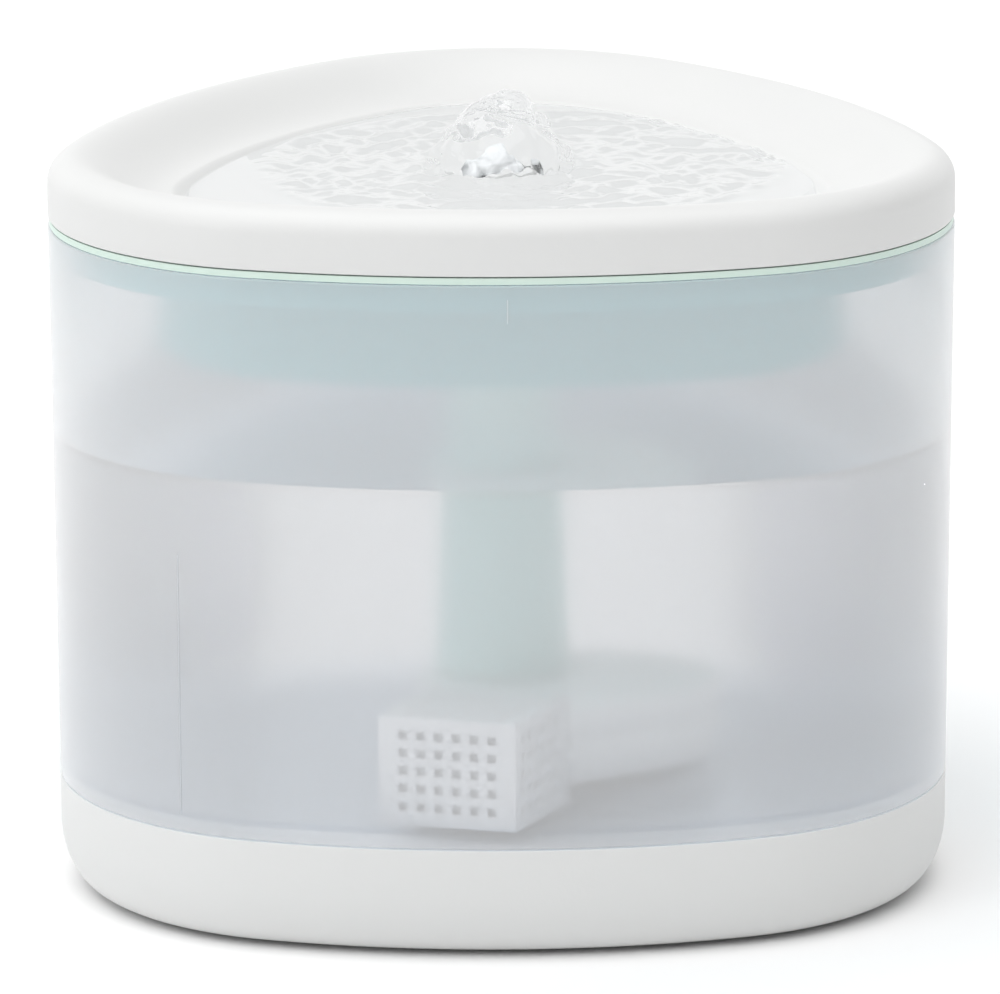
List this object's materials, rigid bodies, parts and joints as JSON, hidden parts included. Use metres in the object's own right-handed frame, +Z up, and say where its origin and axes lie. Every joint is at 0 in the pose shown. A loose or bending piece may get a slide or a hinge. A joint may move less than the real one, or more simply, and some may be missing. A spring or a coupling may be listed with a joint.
{
  "type": "pet water fountain",
  "caption": "Rounded-triangular pet drinking fountain with a dish lid, frosted tank, filter tray with riser, submersible pump and powered base.",
  "frame": {"origin": "centre of the outline's box, on the surface that the feet stand on", "axes": "+X to the right along the wide direction, +Y from the flat-sided front to the back corner, +Z up"},
  "size_m": [0.2, 0.1958, 0.1658],
  "materials": {
    "white_shell": "satin white moulded plastic",
    "white_pump": "matt white moulded plastic",
    "frosted_tank": "frosted clear plastic",
    "mint_tray": "translucent mint moulded plastic",
    "rubber_foot": "matt grey rubber",
    "silicone": "translucent silicone",
    "steel": "zinc-plated steel",
    "board_green": "solder mask",
    "black_plastic": "black plastic and ferrite",
    "copper": "enamelled copper wire",
    "ceramic": "ground ceramic",
    "foam": "open-cell foam",
    "cotton": "non-woven cotton pad",
    "granules": "carbon and resin granules"
  },
  "bodies": {
    "base": {"base_shell": "white_shell", "base_plate": "white_shell", "rubber_feet": "rubber_foot", "base_screws": "steel", "control_board": "board_green", "board_parts": "black_plastic", "power_inlet": "steel", "coil_carrier": "black_plastic", "sending_ferrite": "black_plastic", "sending_coil": "copper"},
    "tank": {"tank": "frosted_tank"},
    "tray": {"filter_tray": "mint_tray", "riser_tube": "mint_tray", "outlet_adapter": "silicone", "pump_housing": "white_pump", "pump_cover": "white_pump", "pump_bottom": "white_pump", "pump_feet": "silicone", "receiving_coil": "copper", "receiving_ferrite": "black_plastic", "stator_core": "steel", "stator_windings": "copper", "volute": "white_pump", "shaft_bushes": "ceramic", "impeller_shaft": "ceramic"},
    "impeller": {"impeller": "black_plastic", "rotor_magnet": "black_plastic"},
    "strainer": {"strainer_box": "white_pump", "strainer_foam": "foam"},
    "filter": {"filter_frame": "white_pump", "filter_pad": "cotton", "filter_granules": "granules"},
    "lid": {"lid": "white_shell", "spout_nozzle": "white_shell"}
  },
  "joints": [
    {"name": "tank_lift", "type": "slide", "parent": "base", "child": "tank", "axis": [0, 0, 1], "range_m": [0, 0.06]},
    {"name": "tray_lift", "type": "slide", "parent": "tank", "child": "tray", "axis": [0, 0, 1], "range_m": [0, 0.13]},
    {"name": "lid_lift", "type": "slide", "parent": "tray", "child": "lid", "axis": [0, 0, 1], "range_m": [0, 0.07]},
    {"name": "filter_lift", "type": "slide", "parent": "tray", "child": "filter", "axis": [0, 0, 1], "range_m": [0, 0.035]},
    {"name": "strainer_lift", "type": "slide", "parent": "tray", "child": "strainer", "axis": [0, 0, 1], "range_m": [0, 0.028]},
    {"name": "impeller_spin", "type": "hinge", "parent": "tray", "child": "impeller", "pos_m": [0.013, -0.01713, 0.041], "axis": [0, 0, 1], "continuous": true}
  ],
  "couplings": [
    {"joint": "filter_lift", "follows": "lid_lift", "ratio": 0.5}
  ]
}
